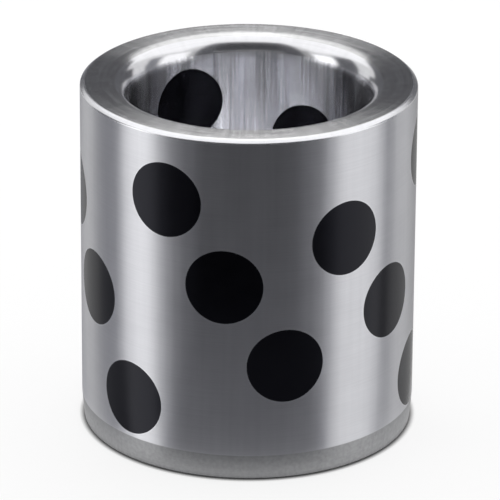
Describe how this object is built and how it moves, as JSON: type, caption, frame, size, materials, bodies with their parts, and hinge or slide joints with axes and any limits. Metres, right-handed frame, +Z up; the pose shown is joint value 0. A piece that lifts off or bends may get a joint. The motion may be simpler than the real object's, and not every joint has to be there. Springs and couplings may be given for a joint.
{
  "type": "graphite plugged bushing",
  "caption": "Straight steel sleeve bushing with flush round graphite plugs through its wall, a rounded bore mouth and a tapered press-in foot.",
  "frame": {"origin": "centre of the foot face, the flat end that the bushing stands on and that enters the housing first", "axes": "+Z up along the bore axis to the rounded mouth; the plug rows start at fixed angles from +X and have no function of their own"},
  "size_m": [0.042, 0.042, 0.045],
  "materials": {
    "ground_steel": "ground bearing steel, fine lines round the axis",
    "graphite": "solid black graphite, cut flush, faint satin sheen"
  },
  "bodies": {
    "root": {"steel_sleeve": "ground_steel", "graphite_plug_01": "graphite", "graphite_plug_02": "graphite", "graphite_plug_03": "graphite", "graphite_plug_04": "graphite", "graphite_plug_05": "graphite", "graphite_plug_06": "graphite", "graphite_plug_07": "graphite", "graphite_plug_08": "graphite", "graphite_plug_09": "graphite", "graphite_plug_10": "graphite", "graphite_plug_11": "graphite", "graphite_plug_12": "graphite", "graphite_plug_13": "graphite", "graphite_plug_14": "graphite", "graphite_plug_15": "graphite", "graphite_plug_16": "graphite", "graphite_plug_17": "graphite", "graphite_plug_18": "graphite"}
  },
  "joints": []
}
